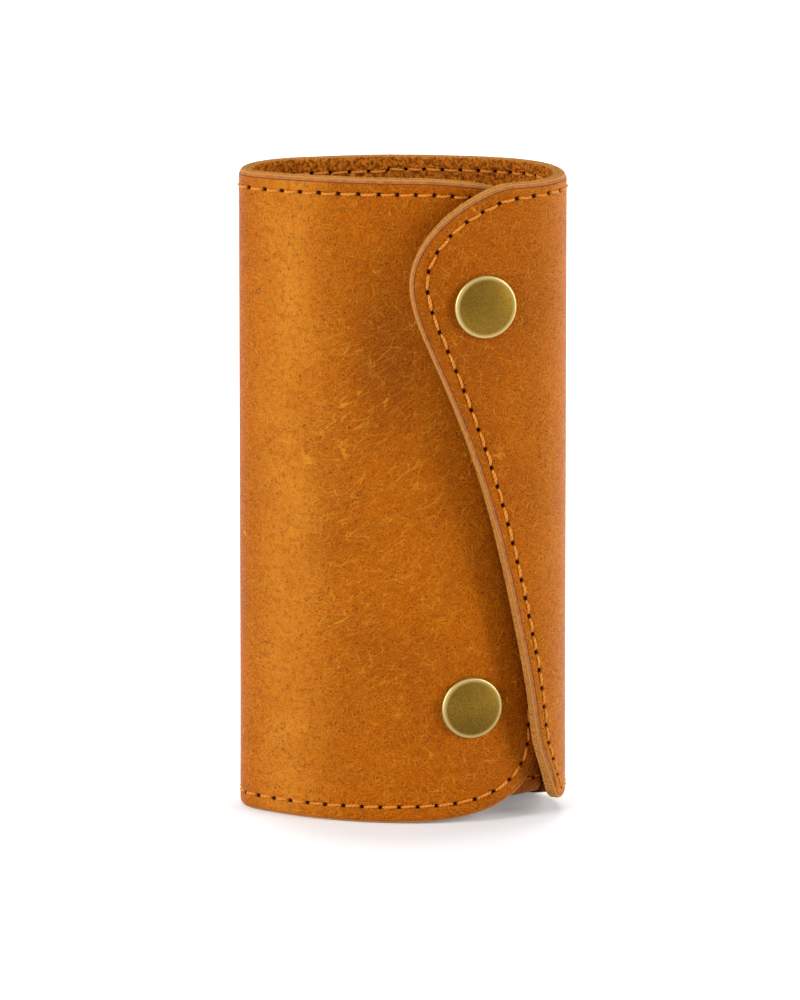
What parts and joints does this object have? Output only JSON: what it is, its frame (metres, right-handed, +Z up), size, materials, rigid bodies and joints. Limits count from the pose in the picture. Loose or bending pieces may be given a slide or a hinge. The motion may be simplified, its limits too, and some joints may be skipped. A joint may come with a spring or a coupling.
{
  "type": "key case",
  "caption": "Rolled leather key case that stands upright: wrap body, S-edged flap, inner tab, snap fasteners, and swinging key hooks with sprung gates on a plate.",
  "frame": {"origin": "on the ground, at the centre of the closed case's box", "axes": "+X to the right as the front is seen, -Y towards the front, +Z up"},
  "size_m": [0.0645, 0.0396, 0.1265],
  "materials": {
    "leather": "semi-matt pull-up grain",
    "lining": "rough suede",
    "tab_leather": "semi-matt grain",
    "thread": "waxed thread",
    "antique_brass": "aged satin",
    "nickel": "satin nickel plate"
  },
  "bodies": {
    "case_back": {"back_leather": "leather", "back_lining": "lining", "back_stitching": "thread", "tab_base_leather": "tab_leather", "tab_base_lining": "lining", "key_plate": "antique_brass", "hook_rod": "nickel", "plate_rivets": "antique_brass", "rivet_caps": "antique_brass"},
    "flap": {"flap_leather": "leather", "flap_lining": "lining", "flap_stitching": "thread", "upper_snap_cap": "antique_brass", "upper_snap_socket": "antique_brass"},
    "front_panel": {"panel_leather": "leather", "panel_lining": "lining", "panel_stitching": "thread", "upper_snap_stud": "antique_brass", "upper_stud_post": "antique_brass", "lower_snap_cap": "antique_brass", "lower_snap_socket": "antique_brass"},
    "inner_tab": {"tab_leather": "tab_leather", "tab_lining": "lining", "tab_stitching": "thread", "lower_snap_stud": "antique_brass", "lower_stud_post": "antique_brass"},
    "hook_1": {"hook_1": "nickel"},
    "hook_2": {"hook_2": "nickel"},
    "hook_3": {"hook_3": "nickel"},
    "hook_4": {"hook_4": "nickel"},
    "hook_5": {"hook_5": "nickel"},
    "hook_6": {"hook_6": "nickel"},
    "gate_1": {"gate_1": "nickel"},
    "gate_2": {"gate_2": "nickel"},
    "gate_3": {"gate_3": "nickel"},
    "gate_4": {"gate_4": "nickel"},
    "gate_5": {"gate_5": "nickel"},
    "gate_6": {"gate_6": "nickel"}
  },
  "joints": [
    {"name": "flap_fold", "type": "hinge", "parent": "case_back", "child": "flap", "pos_m": [0.02822, -0.01136, 0.06], "axis": [0, 0, 1], "range_deg": [0, 155]},
    {"name": "panel_fold", "type": "hinge", "parent": "case_back", "child": "front_panel", "pos_m": [-0.0315, 0.00237, 0.06], "axis": [0, 0, -1], "range_deg": [0, 24]},
    {"name": "tab_fold", "type": "hinge", "parent": "case_back", "child": "inner_tab", "pos_m": [0.02488, 0.00298, 0.02], "axis": [0, 0, -1], "range_deg": [0, 15]},
    {"name": "hook_1_swing", "type": "hinge", "parent": "case_back", "child": "hook_1", "pos_m": [-0.016, 0.0085, 0.1037], "axis": [-1, 0, 0], "range_deg": [-4, 30]},
    {"name": "hook_2_swing", "type": "hinge", "parent": "case_back", "child": "hook_2", "pos_m": [-0.0104, 0.0085, 0.1037], "axis": [-1, 0, 0], "range_deg": [-4, 30]},
    {"name": "hook_3_swing", "type": "hinge", "parent": "case_back", "child": "hook_3", "pos_m": [-0.0048, 0.0085, 0.1037], "axis": [-1, 0, 0], "range_deg": [-4, 30]},
    {"name": "hook_4_swing", "type": "hinge", "parent": "case_back", "child": "hook_4", "pos_m": [0.0008, 0.0085, 0.1037], "axis": [-1, 0, 0], "range_deg": [-4, 30]},
    {"name": "hook_5_swing", "type": "hinge", "parent": "case_back", "child": "hook_5", "pos_m": [0.0064, 0.0085, 0.1037], "axis": [-1, 0, 0], "range_deg": [-4, 30]},
    {"name": "hook_6_swing", "type": "hinge", "parent": "case_back", "child": "hook_6", "pos_m": [0.012, 0.0085, 0.1037], "axis": [-1, 0, 0], "range_deg": [-4, 30]},
    {"name": "gate_1_press", "type": "hinge", "parent": "hook_1", "child": "gate_1", "pos_m": [-0.016, 0.0062, 0.0971], "axis": [1, 0, 0], "range_deg": [0, 16], "stiffness_Nm_per_rad": 0.0005, "springref_deg": -5.73},
    {"name": "gate_2_press", "type": "hinge", "parent": "hook_2", "child": "gate_2", "pos_m": [-0.0104, 0.0062, 0.0971], "axis": [1, 0, 0], "range_deg": [0, 16], "stiffness_Nm_per_rad": 0.0005, "springref_deg": -5.73},
    {"name": "gate_3_press", "type": "hinge", "parent": "hook_3", "child": "gate_3", "pos_m": [-0.0048, 0.0062, 0.0971], "axis": [1, 0, 0], "range_deg": [0, 16], "stiffness_Nm_per_rad": 0.0005, "springref_deg": -5.73},
    {"name": "gate_4_press", "type": "hinge", "parent": "hook_4", "child": "gate_4", "pos_m": [0.0008, 0.0062, 0.0971], "axis": [1, 0, 0], "range_deg": [0, 16], "stiffness_Nm_per_rad": 0.0005, "springref_deg": -5.73},
    {"name": "gate_5_press", "type": "hinge", "parent": "hook_5", "child": "gate_5", "pos_m": [0.0064, 0.0062, 0.0971], "axis": [1, 0, 0], "range_deg": [0, 16], "stiffness_Nm_per_rad": 0.0005, "springref_deg": -5.73},
    {"name": "gate_6_press", "type": "hinge", "parent": "hook_6", "child": "gate_6", "pos_m": [0.012, 0.0062, 0.0971], "axis": [1, 0, 0], "range_deg": [0, 16], "stiffness_Nm_per_rad": 0.0005, "springref_deg": -5.73}
  ],
  "couplings": [
    {"joint": "panel_fold", "follows": "flap_fold", "ratio": 0.15}
  ]
}
